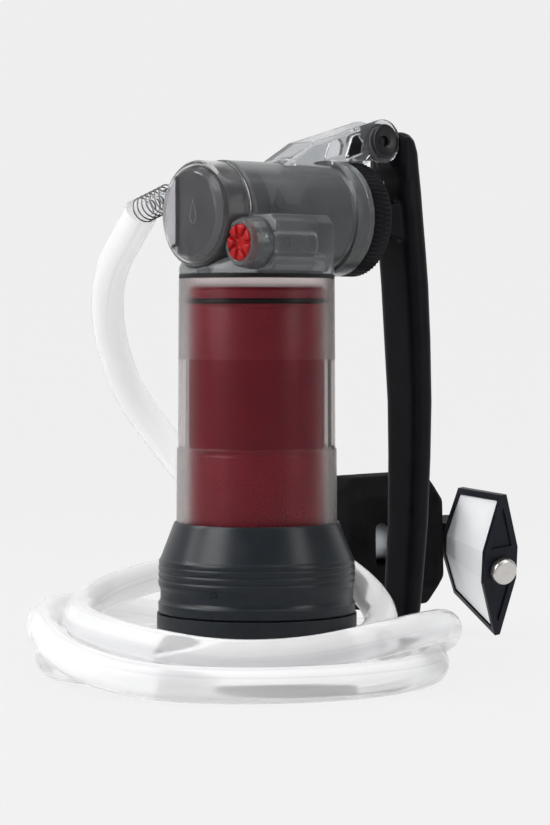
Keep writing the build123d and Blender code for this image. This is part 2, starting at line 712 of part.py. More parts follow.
float_long = 47.0
with BuildPart() as hose_float:
    float_plane = Plane(origin=hose_end + stem_dir * 6.5, x_dir=stem_side, z_dir=stem_dir)
    with BuildSketch(float_plane):
        Rectangle(24.0, 42.0)
        chamfer(vertices(), 6.0)
    with BuildSketch(float_plane.offset(6.0)):
        Rectangle(32.0, 53.0)
        chamfer(vertices(), 8.0)
    loft()
    with BuildSketch(float_plane.offset(6.0)):
        Rectangle(32.0, 53.0)
        chamfer(vertices(), 8.0)
    extrude(amount=float_long - 12.0)
    with BuildSketch(float_plane.offset(float_long - 6.0)):
        Rectangle(32.0, 53.0)
        chamfer(vertices(), 8.0)
    with BuildSketch(float_plane.offset(float_long)):
        Rectangle(24.0, 42.0)
        chamfer(vertices(), 6.0)
    loft()
    with BuildSketch(float_plane.offset(-1.0)):
        Circle(stem_r_out + 0.2)
    extrude(amount=float_long + 2.0, mode=Mode.SUBTRACT)
    with BuildSketch(float_plane.offset(11.0)):
        with Locations((-10.0, -0.5)):
            Rectangle(20.0, 17.0)
    extrude(amount=12.0, mode=Mode.SUBTRACT)

lozenge_up = Vector(0.240, -0.167, 0.956)
lozenge_up = (lozenge_up - face_dir * lozenge_up.dot(face_dir)).normalized()
lozenge_x = lozenge_up.cross(face_dir)
back_plane = Plane(origin=back_mid, x_dir=lozenge_x, z_dir=face_dir)
lozenge_long = (front_mid - back_mid).length


def lozenge(half_wide, half_high, half_flat, tip=1.2):
    # corners of an upright lozenge with cut tips and short straight sides
    right = [(tip, half_high), (half_wide, half_flat), (half_wide, -half_flat), (tip, -half_high)]
    return right + [(-x, -y) for x, y in right]


elbow_r = 6.9
with BuildPart() as prefilter_elbow:
    with BuildSketch(Plane(origin=elbow_mid - lozenge_up * 6.5, x_dir=lozenge_x, z_dir=lozenge_up)):
        Circle(elbow_r)
    extrude(amount=13.0)
    chamfer(edges(), 1.6)
    with BuildSketch(Plane(origin=elbow_mid, x_dir=lozenge_x, z_dir=face_dir)):
        Circle(5.0)
    extrude(amount=7.5)
    with BuildSketch(Plane(origin=elbow_mid, x_dir=lozenge_up, z_dir=stem_dir * -1)):
        Circle(5.2)
    extrude(amount=9.4)
    with BuildSketch(Plane(origin=elbow_mid + face_dir * -2.0, x_dir=lozenge_x, z_dir=face_dir)):
        Circle(2.6)
    extrude(amount=12.0, mode=Mode.SUBTRACT)
    with BuildSketch(Plane(origin=elbow_mid, x_dir=lozenge_up, z_dir=stem_dir * -1)):
        Circle(3.0)
    extrude(amount=12.0, mode=Mode.SUBTRACT)

plate = 1.8
with BuildPart() as prefilter_frame:
    with BuildSketch(back_plane):
        Polygon(*lozenge(7.7, 22.9, 4.2), align=None)
    with BuildSketch(back_plane.offset(lozenge_long)):
        Polygon(*lozenge(7.8, 29.9, 6.6), align=None)
    loft()
    with BuildSketch(back_plane.offset(plate)):
        Polygon(*lozenge(9.5, 21.0, 6.0, 3.0), align=None)
    with BuildSketch(back_plane.offset(lozenge_long - plate)):
        Polygon(*lozenge(9.5, 27.2, 8.0, 3.0), align=None)
    loft(mode=Mode.SUBTRACT)
    with BuildSketch(back_plane.offset(lozenge_long - 0.8)):
        Polygon((0, 24.5), (4.9, 7.6), (-4.9, 7.6), align=None)
        Polygon((0, -24.5), (-4.9, -7.6), (4.9, -7.6), align=None)
    extrude(amount=1.0, mode=Mode.SUBTRACT)
    with BuildSketch(back_plane.offset(-0.5)):
        Circle(2.8)
    extrude(amount=plate + 1.0, mode=Mode.SUBTRACT)

with BuildPart() as prefilter_mesh:
    with BuildSketch(back_plane.offset(plate + 0.05)):
        Polygon(*lozenge(7.0, 20.6, 3.8), align=None)
    with BuildSketch(back_plane.offset(lozenge_long - plate - 0.05)):
        Polygon(*lozenge(7.1, 26.7, 6.0), align=None)
    loft()
    with BuildSketch(back_plane.offset(plate + 1.0)):
        Polygon(*lozenge(6.0, 18.4, 3.4), align=None)
    with BuildSketch(back_plane.offset(lozenge_long - plate - 1.0)):
        Polygon(*lozenge(6.1, 24.4, 5.4), align=None)
    loft(mode=Mode.SUBTRACT)
    with BuildSketch(back_plane.offset(plate)):
        Circle(2.8)
    extrude(amount=1.5, mode=Mode.SUBTRACT)

weight_plane = Plane(
    origin=front_mid + lozenge_up * -1.6 + face_dir * 0.05, x_dir=lozenge_x, z_dir=face_dir
)
with BuildPart() as prefilter_weight:
    with BuildSketch(weight_plane):
        Circle(5.45)
    extrude(amount=4.5)
    fillet(edges().group_by(SortBy.LENGTH)[-1], 1.1)

# ---- write the pieces ----------------------------------------------------------------
bottle_adapter.part.label = "bottle_adapter"
export_step(bottle_adapter.part, "parts/bottle_adapter.step")
adapter_gasket.part.label = "adapter_gasket"
export_step(adapter_gasket.part, "parts/adapter_gasket.step")
outlet_nipple.part.label = "outlet_nipple"
export_step(outlet_nipple.part, "parts/outlet_nipple.step")
lower_end_cap.part.label = "lower_end_cap"
export_step(lower_end_cap.part, "parts/lower_end_cap.step")
lower_oring.part.label = "lower_oring"
export_step(lower_oring.part, "parts/lower_oring.step")
base_grip.part.label = "base_grip"
export_step(base_grip.part, "parts/base_grip.step")
cartridge_housing.part.label = "cartridge_housing"
export_step(cartridge_housing.part, "parts/cartridge_housing.step")
cartridge_base.part.label = "cartridge_base"
export_step(cartridge_base.part, "parts/cartridge_base.step")
cartridge_shell.part.label = "cartridge_shell"
export_step(cartridge_shell.part, "parts/cartridge_shell.step")
cartridge_cap.part.label = "cartridge_cap"
export_step(cartridge_cap.part, "parts/cartridge_cap.step")
cartridge_oring.part.label = "cartridge_oring"
export_step(cartridge_oring.part, "parts/cartridge_oring.step")
potting_disc.part.label = "potting_disc"
export_step(potting_disc.part, "parts/potting_disc.step")
fiber_bundle.part.label = "fiber_bundle"
export_step(fiber_bundle.part, "parts/fiber_bundle.step")
head_gasket.part.label = "head_gasket"
export_step(head_gasket.part, "parts/head_gasket.step")
pump_body.part.label = "pump_body"
export_step(pump_body.part, "parts/pump_body.step")
front_cap.part.label = "front_cap"
export_step(front_cap.part, "parts/front_cap.step")
front_cap_oring.part.label = "front_cap_oring"
export_step(front_cap_oring.part, "parts/front_cap_oring.step")
inlet_gasket.part.label = "inlet_gasket"
export_step(inlet_gasket.part, "parts/inlet_gasket.step")
valve_plate.part.label = "valve_plate"
export_step(valve_plate.part, "parts/valve_plate.step")
inlet_valve.part.label = "inlet_valve"
export_step(inlet_valve.part, "parts/inlet_valve.step")
outlet_valve.part.label = "outlet_valve"
export_step(outlet_valve.part, "parts/outlet_valve.step")
retaining_ring.part.label = "retaining_ring"
export_step(retaining_ring.part, "parts/retaining_ring.step")
rod_guide.part.label = "rod_guide"
export_step(rod_guide.part, "parts/rod_guide.step")
emblem.part.label = "emblem"
export_step(emblem.part, "parts/emblem.step")
hinge_bracket.part.label = "hinge_bracket"
export_step(hinge_bracket.part, "parts/hinge_bracket.step")
hinge_pin.part.label = "hinge_pin"
export_step(hinge_pin.part, "parts/hinge_pin.step")
hinge_washers.part.label = "hinge_washers"
export_step(hinge_washers.part, "parts/hinge_washers.step")
lever.part.label = "lever"
export_step(lever.part, "parts/lever.step")
drive_pin.part.label = "drive_pin"
export_step(drive_pin.part, "parts/drive_pin.step")
piston.part.label = "piston"
export_step(piston.part, "parts/piston.step")
piston_seal.part.label = "piston_seal"
export_step(piston_seal.part, "parts/piston_seal.step")
piston_rod.part.label = "piston_rod"
export_step(piston_rod.part, "parts/piston_rod.step")
relief_bezel.part.label = "relief_bezel"
export_step(relief_bezel.part, "parts/relief_bezel.step")
relief_knob.part.label = "relief_knob"
export_step(relief_knob.part, "parts/relief_knob.step")
relief_poppet.part.label = "relief_poppet"
export_step(relief_poppet.part, "parts/relief_poppet.step")
relief_seal.part.label = "relief_seal"
export_step(relief_seal.part, "parts/relief_seal.step")
relief_spring.part.label = "relief_spring"
export_step(relief_spring.part, "parts/relief_spring.step")
inlet_barb.part.label = "inlet_barb"
export_step(inlet_barb.part, "parts/inlet_barb.step")
hose_cuff.part.label = "hose_cuff"
export_step(hose_cuff.part, "parts/hose_cuff.step")
kink_spring.part.label = "kink_spring"
export_step(kink_spring.part, "parts/kink_spring.step")
hose.part.label = "hose"
export_step(hose.part, "parts/hose.step")
hose_float.part.label = "hose_float"
export_step(hose_float.part, "parts/hose_float.step")
prefilter_stem.part.label = "prefilter_stem"
export_step(prefilter_stem.part, "parts/prefilter_stem.step")
prefilter_elbow.part.label = "prefilter_elbow"
export_step(prefilter_elbow.part, "parts/prefilter_elbow.step")
prefilter_frame.part.label = "prefilter_frame"
export_step(prefilter_frame.part, "parts/prefilter_frame.step")
prefilter_mesh.part.label = "prefilter_mesh"
export_step(prefilter_mesh.part, "parts/prefilter_mesh.step")
prefilter_weight.part.label = "prefilter_weight"
export_step(prefilter_weight.part, "parts/prefilter_weight.step")

hose_section = pi * (hose_r ** 2 - hose_bore_r ** 2)
hose_length = sum(piece.length for piece in hose_path.line.edges())
print("hose length", round(hose_length, 1), "volume", round(hose.part.volume, 0))
print("section times length", round(hose_section * hose_length, 0))
print("hose bend radii", round(min(hose_radii), 1), "to", round(max(hose_radii), 1))
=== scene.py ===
from math import asin, cos, exp, pi, radians, sin, sqrt

import bmesh
import bpy
from mathutils import Matrix, Vector


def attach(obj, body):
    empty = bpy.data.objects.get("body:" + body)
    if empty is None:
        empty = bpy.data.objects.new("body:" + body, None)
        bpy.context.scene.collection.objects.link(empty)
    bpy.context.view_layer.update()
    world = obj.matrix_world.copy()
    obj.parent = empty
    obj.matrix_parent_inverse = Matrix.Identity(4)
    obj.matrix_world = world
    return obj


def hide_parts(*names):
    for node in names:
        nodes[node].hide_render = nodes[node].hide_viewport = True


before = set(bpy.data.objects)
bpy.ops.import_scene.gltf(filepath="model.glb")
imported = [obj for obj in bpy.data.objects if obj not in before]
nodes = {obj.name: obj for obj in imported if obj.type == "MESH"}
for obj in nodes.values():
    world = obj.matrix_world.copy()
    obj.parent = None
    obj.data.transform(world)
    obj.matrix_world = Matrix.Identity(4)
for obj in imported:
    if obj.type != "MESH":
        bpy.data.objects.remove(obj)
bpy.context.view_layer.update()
MM = 0.001                  # one millimetre in the frame's metres

# places of the filter's main parts, millimetres
PUMP_Z = 163.6              # axis of the pump cylinder, which lies along Y
PIVOT = (0.0, 54.5, 192.6)  # hinge pin
RELIEF = (23.0, 153.0)      # x and z of the relief valve's axis
HOSE_R = 6.1
WINDOW_BAND = (0.0807, 0.1123)  # polished band of the tube, from and to, metres


# ---- finishes ------------------------------------------------------------------------
def new_finish(name):
    mat = bpy.data.materials.new(name)
    mat.use_nodes = True
    tree = mat.node_tree
    shader = tree.nodes["Principled BSDF"]
    place = tree.nodes.new("ShaderNodeTexCoord").outputs["Object"]
    return mat, tree, shader, place


def grain(tree, place, scale, detail=4.0, rough=0.55):
    noise = tree.nodes.new("ShaderNodeTexNoise")
    noise.inputs["Scale"].default_value = scale
    noise.inputs["Detail"].default_value = detail
    noise.inputs["Roughness"].default_value = rough
    tree.links.new(place, noise.inputs["Vector"])
    return noise.outputs["Fac"]


def spread(tree, value, low, high, start=0.3, end=0.7):
    to = tree.nodes.new("ShaderNodeMapRange")
    to.inputs["From Min"].default_value = start
    to.inputs["From Max"].default_value = end
    to.inputs["To Min"].default_value = low
    to.inputs["To Max"].default_value = high
    tree.links.new(value, to.inputs["Value"])
    return to.outputs["Result"]


def two_tone(tree, value, dark, light, start=0.3, end=0.7):
    ramp = tree.nodes.new("ShaderNodeValToRGB")
    ramp.color_ramp.elements[0].position = start
    ramp.color_ramp.elements[0].color = (*dark, 1)
    ramp.color_ramp.elements[1].position = end
    ramp.color_ramp.elements[1].color = (*light, 1)
    tree.links.new(value, ramp.inputs["Fac"])
    return ramp.outputs["Color"]


def relief_map(tree, shader, value, strength, depth):
    bump = tree.nodes.new("ShaderNodeBump")
    bump.inputs["Strength"].default_value = strength
    bump.inputs["Distance"].default_value = depth
    tree.links.new(value, bump.inputs["Height"])
    tree.links.new(bump.outputs["Normal"], shader.inputs["Normal"])


def satin(name, dark, light, rough, fine=2600.0, bump=0.12, metal=0.0, gloss=0.5):
    mat, tree, shader, place = new_finish(name)
    broad = grain(tree, place, 90.0, 5.0)
    tree.links.new(two_tone(tree, broad, dark, light), shader.inputs["Base Color"])
    tree.links.new(spread(tree, broad, rough[0], rough[1]), shader.inputs["Roughness"])
    relief_map(tree, shader, grain(tree, place, fine, 3.0), bump, 0.0001)
    shader.inputs["Metallic"].default_value = metal
    shader.inputs["Specular IOR Level"].default_value = gloss
    return mat


def clear(name, dark, light, rough, ior=1.46, fine=900.0, bump=0.03, through=1.0):
    mat, tree, shader, place = new_finish(name)
    broad = grain(tree, place, 45.0, 3.0)
    tree.links.new(two_tone(tree, broad, dark, light), shader.inputs["Base Color"])
    tree.links.new(spread(tree, broad, rough[0], rough[1]), shader.inputs["Roughness"])
    relief_map(tree, shader, grain(tree, place, fine, 2.0), bump, 0.0001)
    shader.inputs["Transmission Weight"].default_value = through
    shader.inputs["IOR"].default_value = ior
    return mat


def frosted_tube_finish():
    # frosted all over but for a polished window band half way up
    mat, tree, shader, place = new_finish("frosted_tube")
    split = tree.nodes.new("ShaderNodeSeparateXYZ")
    tree.links.new(place, split.inputs[0])
    both = tree.nodes.new("ShaderNodeMath")
    both.operation = "MULTIPLY"
    for k, side in enumerate(("GREATER_THAN", "LESS_THAN")):
        test = tree.nodes.new("ShaderNodeMath")
        test.operation = side
        test.inputs[1].default_value = WINDOW_BAND[k]
        tree.links.new(split.outputs["Z"], test.inputs[0])
        tree.links.new(test.outputs[0], both.inputs[k])
    tree.links.new(spread(tree, both.outputs[0], 0.27, 0.03, 0.0, 1.0), shader.inputs["Roughness"])
    tone = two_tone(tree, both.outputs[0], (0.80, 0.745, 0.74), (0.72, 0.66, 0.66), 0.0, 1.0)
    # painted shade: the wall's colour is darkened towards its silhouettes, where it turns away
    # from the view
    edge = tree.nodes.new("ShaderNodeLayerWeight")
    edge.inputs["Blend"].default_value = 0.5
    deep = tree.nodes.new("ShaderNodeMix")
    deep.data_type = "RGBA"
    deep.blend_type = "MULTIPLY"
    deep.inputs[7].default_value = (0.55, 0.53, 0.535, 1)
    tree.links.new(spread(tree, edge.outputs["Facing"], 0.0, 1.0, 0.36, 0.62), deep.inputs[0])
    tree.links.new(tone, deep.inputs[6])
    tree.links.new(deep.outputs[2], shader.inputs["Base Color"])
    frost = tree.nodes.new("ShaderNodeMath")
    frost.operation = "MULTIPLY"
    tree.links.new(grain(tree, place, 2400.0, 2.0), frost.inputs[0])
    tree.links.new(spread(tree, both.outputs[0], 1.0, 0.0, 0.0, 1.0), frost.inputs[1])
    relief_map(tree, shader, frost.outputs[0], 0.12, 0.0001)
    shader.inputs["Transmission Weight"].default_value = 1.0
    shader.inputs["IOR"].default_value = 1.22
    shader.inputs["Specular Tint"].default_value = (0.35, 0.35, 0.37, 1)
    return mat


def vinyl_finish():
    # milky clear hose, with fine streaks that run along it
    mat, tree, shader, place = new_finish("hose_vinyl")
    along = tree.nodes.new("ShaderNodeUVMap")
    mapping = tree.nodes.new("ShaderNodeMapping")
    mapping.inputs["Scale"].default_value = (3.0, 11.0, 1.0)
    tree.links.new(along.outputs["UV"], mapping.inputs["Vector"])
    streak = grain(tree, mapping.outputs["Vector"], 1.0, 3.0, 0.6)
    tone = two_tone(tree, streak, (0.87, 0.87, 0.89), (0.995, 0.995, 0.998), 0.36, 0.48)
    tree.links.new(tone, shader.inputs["Base Color"])
    tree.links.new(spread(tree, grain(tree, place, 60.0), 0.10, 0.18), shader.inputs["Roughness"])
    relief_map(tree, shader, streak, 0.25, 0.0004)
    shader.inputs["Transmission Weight"].default_value = 0.70
    shader.inputs["IOR"].default_value = 1.12
    return mat


def screen_finish():
    mat, tree, shader, place = new_finish("screen_cloth")
    weave = tree.nodes.new("ShaderNodeTexVoronoi")
    weave.inputs["Scale"].default_value = 2600.0
    tree.links.new(place, weave.inputs["Vector"])
    relief_map(tree, shader, weave.outputs["Distance"], 0.25, 0.0001)
    broad = grain(tree, place, 60.0, 3.0)
    tree.links.new(
        two_tone(tree, broad, (0.90, 0.92, 0.95), (0.96, 0.97, 0.985)), shader.inputs["Base Color"]
    )
    shader.inputs["Roughness"].default_value = 0.55
    shader.inputs["Subsurface Weight"].default_value = 0.15
    shader.inputs["Subsurface Radius"].default_value = (0.002, 0.002, 0.002)
    return mat


def studio_paper_finish():
    mat, tree, shader, place = new_finish("studio_paper")
    tree.links.new(
        two_tone(tree, grain(tree, place, 3.0, 2.0), (0.040, 0.040, 0.040), (0.042, 0.042, 0.042)),
        shader.inputs["Base Color"],
    )
    shader.inputs["Emission Color"].default_value = (1, 1, 1, 1)
    shader.inputs["Emission Strength"].default_value = 0.83
    shader.inputs["Roughness"].default_value = 0.9
    shader.inputs["Specular IOR Level"].default_value = 0.0
    return mat


SMOKE = clear(
    "smoke_moulding", (0.25, 0.262, 0.27), (0.32, 0.332, 0.34),
    (0.16, 0.24), 1.33, through=0.82,
)
WEB_SMOKE = clear(
    "smoke_web", (0.66, 0.675, 0.69), (0.76, 0.775, 0.79),
    (0.08, 0.15), 1.3, through=0.95,
)
CAP_SMOKE = clear(
    "smoke_cap", (0.62, 0.615, 0.63), (0.72, 0.715, 0.73),
    (0.08, 0.15), 1.3, through=0.97,
)
FROSTED = frosted_tube_finish()
CRIMSON = satin(
    "crimson_cartridge", (0.19, 0.002, 0.014), (0.24, 0.004, 0.021),
    (0.32, 0.42), bump=0.05, gloss=0.4,
)
SKIRT = satin(
    "skirt_satin", (0.008, 0.010, 0.013), (0.013, 0.016, 0.019),
    (0.36, 0.5), bump=0.1, gloss=0.2,
)
GRIP = satin(
    "grip_satin", (0.006, 0.009, 0.012), (0.011, 0.014, 0.018),
    (0.26, 0.36), bump=0.14, gloss=0.24,
)
LEVER = satin(
    "lever_grain", (0.003, 0.003, 0.005), (0.006, 0.006, 0.009),
    (0.36, 0.48), bump=0.3, gloss=0.09,
)
BLACK = satin(
    "black_moulding", (0.003, 0.003, 0.004), (0.007, 0.007, 0.009),
    (0.32, 0.44), bump=0.15, gloss=0.08,
)
FRAME = satin(
    "prefilter_satin", (0.007, 0.008, 0.013), (0.012, 0.013, 0.019),
    (0.3, 0.45), bump=0.2, gloss=0.14,
)
GREY = satin("grey_moulding", (0.20, 0.205, 0.21), (0.25, 0.255, 0.26), (0.35, 0.5), bump=0.05)
RUBBER = satin(
    "seal_rubber", (0.004, 0.004, 0.004), (0.008, 0.008, 0.008),
    (0.5, 0.65), bump=0.1, gloss=0.2,
)
SILICONE = satin(
    "valve_silicone", (0.20, 0.19, 0.18), (0.25, 0.24, 0.23),
    (0.4, 0.55), bump=0.05,
)
RED = satin(
    "red_knob", (0.22, 0.001, 0.002), (0.31, 0.002, 0.003),
    (0.3, 0.4), bump=0.03, gloss=0.2,
)
FOAM = satin(
    "float_foam", (0.003, 0.003, 0.0035), (0.008, 0.008, 0.009),
    (0.7, 0.85), 1500.0, 0.6, gloss=0.05,
)
STEEL = satin(
    "stud_steel", (0.52, 0.50, 0.48), (0.66, 0.64, 0.62),
    (0.24, 0.38), 1800.0, 0.1, 1.0,
)
WIRE = satin(
    "spring_wire", (0.12, 0.12, 0.12), (0.22, 0.22, 0.22),
    (0.2, 0.3), 2600.0, 0.05, 1.0,
)
# painted shade: the dark copy of the chamber's inner plastic
INNER_PAINTED_SHADE = satin(
    "chamber_painted_shade", (0.016, 0.014, 0.018), (0.034, 0.030, 0.036),
    (0.25, 0.4), bump=0.05, gloss=0.3,
)
# painted light: the pale copy of the chamber's inner plastic
INNER_PAINTED_LIGHT = satin(
    "chamber_painted_light", (0.86, 0.84, 0.87), (0.94, 0.92, 0.95),
    (0.25, 0.4), bump=0.05,
)
PIN = satin(
    "pin_black", (0.004, 0.004, 0.006), (0.009, 0.009, 0.011),
    (0.22, 0.34), bump=0.05, gloss=0.3,
)
RESIN = satin("potting_resin", (0.55, 0.50, 0.42), (0.65, 0.60, 0.50), (0.3, 0.45), bump=0.05)
FIBRE = satin("filter_fibre", (0.70, 0.68, 0.62), (0.80, 0.78, 0.73), (0.6, 0.75), bump=0.1)
VINYL = vinyl_finish()
# painted light: the clear stem is made pale and mostly opaque so it shows bright inside its shaded
# notch
STEM = clear(
    "stem_clear_painted_light", (0.86, 0.90, 0.95), (0.93, 0.96, 0.99),
    (0.06, 0.14), 1.2, 400.0, 0.05, 0.35,
)
BARB = clear(
    "barb_clear", (0.93, 0.93, 0.94), (0.97, 0.97, 0.98),
    (0.08, 0.15), 1.06, 400.0, 0.05,
)
SCREEN = screen_finish()
PAPER = studio_paper_finish()


# ---- making pieces -------------------------------------------------------------------
def finish_piece(obj, body, slot, mat, *replaced):
    obj.data.materials.clear()
    obj.data.materials.append(mat)
    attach(obj, body)
    if replaced:
        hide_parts(*replaced)
    return obj


def placed(name, data):
    obj = bpy.data.objects.new(name, data)
    bpy.context.scene.collection.objects.link(obj)
    return obj


def baked(obj):
    # the plain mesh of an object with its modifiers or its bevel worked in
    return bpy.data.meshes.new_from_object(
        obj.evaluated_get(bpy.context.evaluated_depsgraph_get())
    )


def object_from(name, bm, smooth=True):
    mesh = bpy.data.meshes.new(name)
    bmesh.ops.remove_doubles(bm, verts=bm.verts, dist=1e-7)
    bmesh.ops.recalc_face_normals(bm, faces=bm.faces)
    bm.to_mesh(mesh)
    bm.free()
    if smooth:
        mesh.shade_smooth()
    return placed(name, mesh)


def eased(profile, radius):
    # closed outline with every corner rounded, limited by its sides
    out = []
    count = len(profile)
    for k in range(count):
        here = Vector(profile[k])
        back = Vector(profile[k - 1]) - here
        ahead = Vector(profile[(k + 1) % count]) - here
        reach = min(radius, back.length * 0.42, ahead.length * 0.42)
        one = here + back.normalized() * reach
        two = here + ahead.normalized() * reach
        for step in range(4):
            t = step / 3
            out.append(one * (1 - t) ** 2 + here * (2 * t * (1 - t)) + two * t ** 2)
    return out


def seat(origin, along, across=None):
    # matrix whose Z runs along a piece's own axis, metres
    z = Vector(along).normalized()
    x = Vector(across) if across else z.orthogonal()
    x = (x - z * x.dot(z)).normalized()
    y = z.cross(x)
    spot = Vector(origin) * MM
    return Matrix((
        (x.x, y.x, z.x, spot.x), (x.y, y.y, z.y, spot.y), (x.z, y.z, z.z, spot.z), (0, 0, 0, 1),
    ))


UPRIGHT = seat((0, 0, 0), (0, 0, 1), (1, 0, 0))
ALONG_PUMP = seat((0, 0, PUMP_Z), (0, 1, 0), (1, 0, 0))


def turned(name, profile, ease=0.4, segments=160, place=UPRIGHT):
    # a turned piece: outline points are (radius, distance along the axis), millimetres
    ring = eased(profile, ease) if ease else [Vector(p) for p in profile]
    bm = bmesh.new()
    loops = []
    for k in range(segments):
        around = 2 * pi * k / segments
        loops.append([
            bm.verts.new((p.x * cos(around) * MM, p.x * sin(around) * MM, p.y * MM)) for p in ring
        ])
    for k in range(segments):
        one, two = loops[k], loops[(k + 1) % segments]
        for j in range(len(ring)):
            nxt = (j + 1) % len(ring)
            bm.faces.new((one[j], two[j], two[nxt], one[nxt]))
    bmesh.ops.transform(bm, matrix=place, verts=bm.verts)
    return object_from(name, bm)


def joined(name, *objs):
    # one mesh of several, the parts thrown away
    bm = bmesh.new()
    for obj in objs:
        bm.from_mesh(obj.data)
        bpy.data.objects.remove(obj)
    mesh = bpy.data.meshes.new(name)
    bm.to_mesh(mesh)
    bm.free()
    mesh.shade_smooth()
    return placed(name, mesh)


def rib_ring(name, mat, count, reach, thick, long, place, sides=10):
    # round ribs set in a ring, by a node tree
    tree = bpy.data.node_groups.new(name + "_tree", "GeometryNodeTree")
    face = tree.interface
    sockets = {}
    for label, kind, value in (
        ("Rib count", "NodeSocketInt", count), ("Ring radius", "NodeSocketFloat", reach),
        ("Rib radius", "NodeSocketFloat", thick), ("Rib length", "NodeSocketFloat", long),
    ):
        sockets[label] = (face.new_socket(label, in_out="INPUT", socket_type=kind), value)
    face.new_socket("Geometry", in_out="OUTPUT", socket_type="NodeSocketGeometry")
    into = tree.nodes.new("NodeGroupInput")
    out = tree.nodes.new("NodeGroupOutput")
    circle = tree.nodes.new("GeometryNodeMeshCircle")
    rib = tree.nodes.new("GeometryNodeMeshCylinder")
    rib.inputs["Vertices"].default_value = sides
    spots = tree.nodes.new("GeometryNodeInstanceOnPoints")
    real = tree.nodes.new("GeometryNodeRealizeInstances")
    paint = tree.nodes.new("GeometryNodeSetMaterial")
    paint.inputs["Material"].default_value = mat
    link = tree.links.new
    link(into.outputs["Rib count"], circle.inputs["Vertices"])
    link(into.outputs["Ring radius"], circle.inputs["Radius"])
    link(into.outputs["Rib radius"], rib.inputs["Radius"])
    link(into.outputs["Rib length"], rib.inputs["Depth"])
    link(circle.outputs["Mesh"], spots.inputs["Points"])
    link(rib.outputs["Mesh"], spots.inputs["Instance"])
    link(spots.outputs["Instances"], real.inputs["Geometry"])
    link(real.outputs["Geometry"], paint.inputs["Geometry"])
    link(paint.outputs["Geometry"], out.inputs["Geometry"])
    obj = placed(name, bpy.data.meshes.new(name))
    mod = obj.modifiers.new("ribs", "NODES")
    mod.node_group = tree
    for socket, value in sockets.values():
        mod[socket.identifier] = value
    done = baked(obj)
    obj.modifiers.clear()
    done.transform(place)
    obj.data = done
    return obj


def voxel_skin(name, mesh, voxel, passes):
    # one closed skin round a mesh, its edges eased
    obj = placed(name, mesh)
    remesh = obj.modifiers.new("skin", "REMESH")
    remesh.mode = "VOXEL"
    remesh.voxel_size = voxel * MM
    ease = obj.modifiers.new("ease", "SMOOTH")
    ease.factor = 0.5
    ease.iterations = passes
    done = baked(obj)
    obj.modifiers.clear()
    obj.data = done
    done.shade_smooth()
    return obj


def softened(name, node, voxel, passes):
    # the moulded shape of a CAD node with its edges eased
    mesh = nodes[node].data.copy()
    bm = bmesh.new()
    bm.from_mesh(mesh)
    bmesh.ops.remove_doubles(bm, verts=bm.verts, dist=1e-6)
    bm.to_mesh(mesh)
    bm.free()
    return voxel_skin(name, mesh, voxel, passes)


def flat_piece(name, outline, front, back):
    # a plate parallel to the cap's face: outline points are (x, z)
    bm = bmesh.new()
    near = [bm.verts.new((x * MM, front * MM, z * MM)) for x, z in outline]
    far = [bm.verts.new((x * MM, back * MM, z * MM)) for x, z in outline]
    bm.faces.new(near)
    bm.faces.new(far)
    for k in range(len(near)):
        nxt = (k + 1) % len(near)
        bm.faces.new((near[k], near[nxt], far[nxt], far[k]))
    return object_from(name, bm, smooth=False)


def smooth_line(name, points, thick, rounds, closed=False, steps=4):
    # a round cord through the points, as a curve of one spline
    curve = bpy.data.curves.new(name, "CURVE")
    curve.dimensions = "3D"
    line = curve.splines.new("NURBS")
    line.points.add(len(points) - 1)
    for point, place in zip(line.points, points):
        point.co = (place[0] * MM, place[1] * MM, place[2] * MM, 1.0)
    line.order_u = 3
    line.use_cyclic_u = closed
    line.use_endpoint_u = not closed
    line.resolution_u = steps
    curve.bevel_depth = thick * MM
    curve.bevel_resolution = rounds
    curve.use_fill_caps = True
    return placed(name, curve)


def thin_wire(name, points, thick, closed=False):
    # the same as a mesh
    made = smooth_line(name + "_line", points, thick, 3, closed)
    mesh = baked(made)
    bpy.data.objects.remove(made)
    return placed(name, mesh)


# ---- camera, light, paper ------------------------------------------------------------
VIEW_DIR = Vector((-0.7716, 0.6361, 0.0))
SIDE_DIR = Vector((0.6361, 0.7716, 0.0))

camera = placed("camera", bpy.data.cameras.new("camera"))
camera.location = (0.7217, -0.5865, 0.121)
camera.rotation_euler = VIEW_DIR.to_track_quat("-Z", "Y").to_euler()
camera.data.lens = 113.2
camera.data.sensor_width = 36.0
camera.data.shift_y = -0.094
camera.data.clip_start = 0.01
bpy.context.scene.camera = camera

world = bpy.data.worlds.new("studio")
world.use_nodes = True
world.node_tree.nodes["Background"].inputs["Color"].default_value = (1, 1, 1, 1)
world.node_tree.nodes["Background"].inputs["Strength"].default_value = 0.40
bpy.context.scene.world = world
bpy.context.scene.view_settings.view_transform = "Standard"


def soft_box(name, place, aim, wide, high, power):
    lamp = bpy.data.lights.new(name, "AREA")
    lamp.shape = "RECTANGLE"
    lamp.size = wide
    lamp.size_y = high
    lamp.energy = power
    obj = placed(name, lamp)
    obj.location = place
    obj.rotation_euler = (Vector(aim) - Vector(place)).to_track_quat("-Z", "Y").to_euler()


soft_box("key_left", (-0.15, -0.85, 0.55), (0, 0, 0.11), 0.5, 0.7, 7.0)
soft_box("key_right", (0.9, 0.35, 0.5), (0, 0.02, 0.1), 0.3, 0.7, 2.6)
soft_box("left_strip", (-0.62, -0.60, 0.70), (0, 0, 0.08), 0.2, 0.5, 3.4)
soft_box("top", (0.15, 0.1, 1.1), (0, 0, 0.1), 0.9, 0.9, 5.0)

